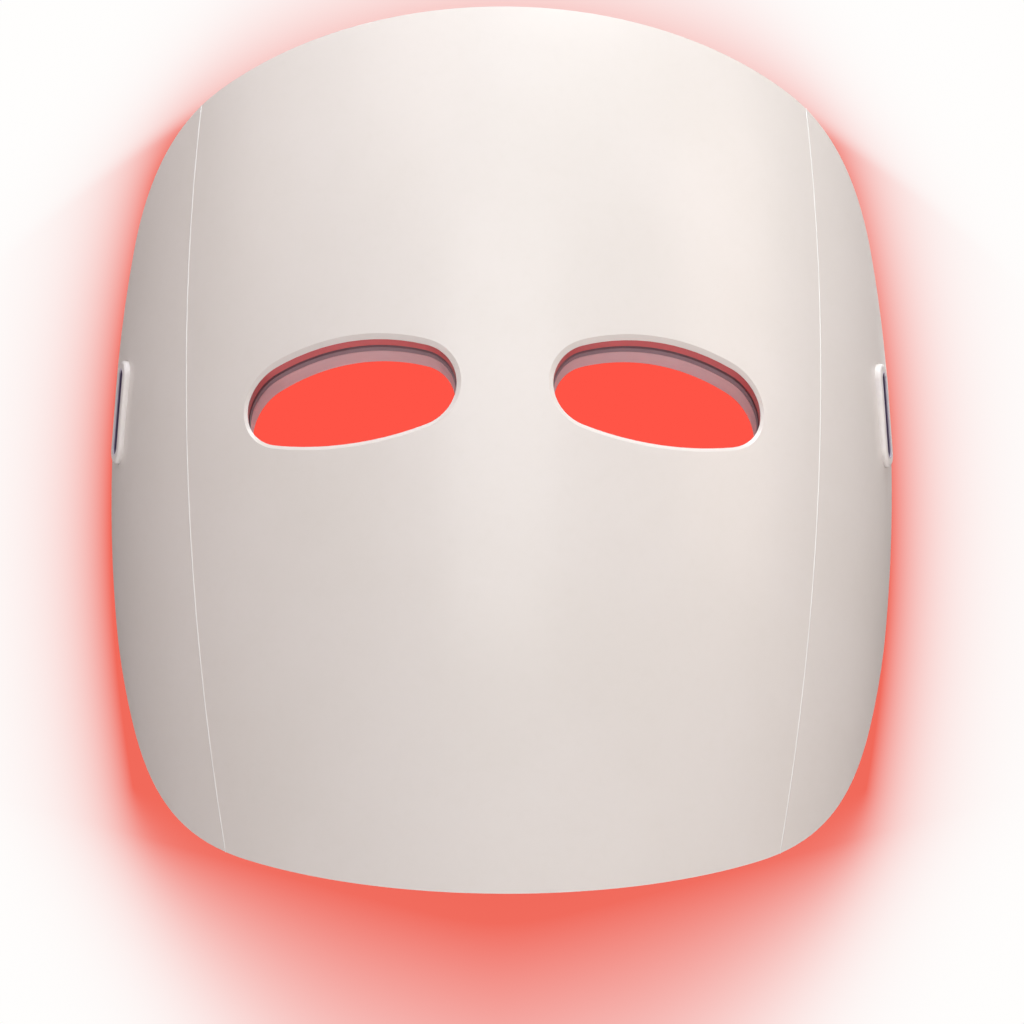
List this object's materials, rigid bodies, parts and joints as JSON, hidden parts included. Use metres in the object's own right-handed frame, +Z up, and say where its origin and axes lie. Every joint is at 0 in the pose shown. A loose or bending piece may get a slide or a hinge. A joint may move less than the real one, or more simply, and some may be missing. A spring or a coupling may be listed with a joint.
{
  "type": "led face mask",
  "caption": "Rigid curved face mask with eye openings, temple strap slots and light boards behind a clear inner window.",
  "frame": {"origin": "on the upright axis that the curved skin turns about, level with the middle of the eye openings", "axes": "+Z up the wearer's face, -Y the way the wearer looks, +X the wearer's left"},
  "size_m": [0.185, 0.0857, 0.1999],
  "materials": {
    "shell_white": "warm white satin-gloss ABS",
    "rim_white": "warm white gloss ABS",
    "eye_trim_red": "translucent rose red, gloss",
    "bezel_mauve": "mauve grey, matte",
    "shield_silicone": "soft mauve pink silicone",
    "pad_silicone": "soft light grey silicone",
    "window_clear": "clear polycarbonate, polished",
    "board_white": "white solder mask",
    "board_green": "green solder mask",
    "led_red": "lit red LED lens",
    "led_infrared": "dark smoked LED lens",
    "led_blue": "clear LED lens, unlit",
    "link_amber": "amber polyimide film",
    "chip_black": "black moulded epoxy",
    "steel": "zinc plated",
    "battery_foil": "matt pouch foil",
    "foam_black": "adhesive foam",
    "lead_red": "insulated wire",
    "plug_white": "nylon",
    "button_white": "white satin plastic",
    "pipe_clear": "clear acrylic"
  },
  "bodies": {
    "mask": {"front_shell": "shell_white", "side_cover_left": "shell_white", "side_cover_right": "shell_white", "rim_frame": "rim_white", "strap_ring_left": "rim_white", "strap_ring_right": "rim_white", "seam_strip_left": "plug_white", "seam_strip_right": "plug_white", "inner_panel": "window_clear", "led_board_center": "board_white", "led_board_left": "board_white", "led_board_right": "board_white", "board_link_left": "link_amber", "board_link_right": "link_amber", "leds_red": "led_red", "leds_infrared": "led_infrared", "leds_blue": "led_blue", "eye_trim_left": "eye_trim_red", "eye_trim_right": "eye_trim_red", "eye_bezel_left": "bezel_mauve", "eye_bezel_right": "bezel_mauve", "eye_shield_left": "shield_silicone", "eye_shield_right": "shield_silicone", "forehead_pad": "pad_silicone", "nose_pad": "pad_silicone", "cheek_pad_left": "pad_silicone", "cheek_pad_right": "pad_silicone", "shell_screws": "steel", "board_screws": "steel", "battery_cell": "battery_foil", "battery_pad": "foam_black", "battery_leads": "lead_red", "battery_plug": "plug_white", "control_board": "board_green", "controller_chip": "chip_black", "inductor": "chip_black", "buzzer": "chip_black", "led_ribbon": "link_amber", "usb_c_socket": "steel", "tact_switches": "steel", "status_light_pipe": "pipe_clear"},
    "power_button": {"power_button": "button_white"},
    "mode_button": {"mode_button": "button_white"}
  },
  "joints": [
    {"name": "power_button_press", "type": "slide", "parent": "mask", "child": "power_button", "axis": [0, -0.226, 0.9741], "range_m": [0, 0.0006], "stiffness_N_per_m": 400, "springref_m": -0.001},
    {"name": "mode_button_press", "type": "slide", "parent": "mask", "child": "mode_button", "axis": [0, -0.226, 0.9741], "range_m": [0, 0.0006], "stiffness_N_per_m": 400, "springref_m": -0.001}
  ]
}
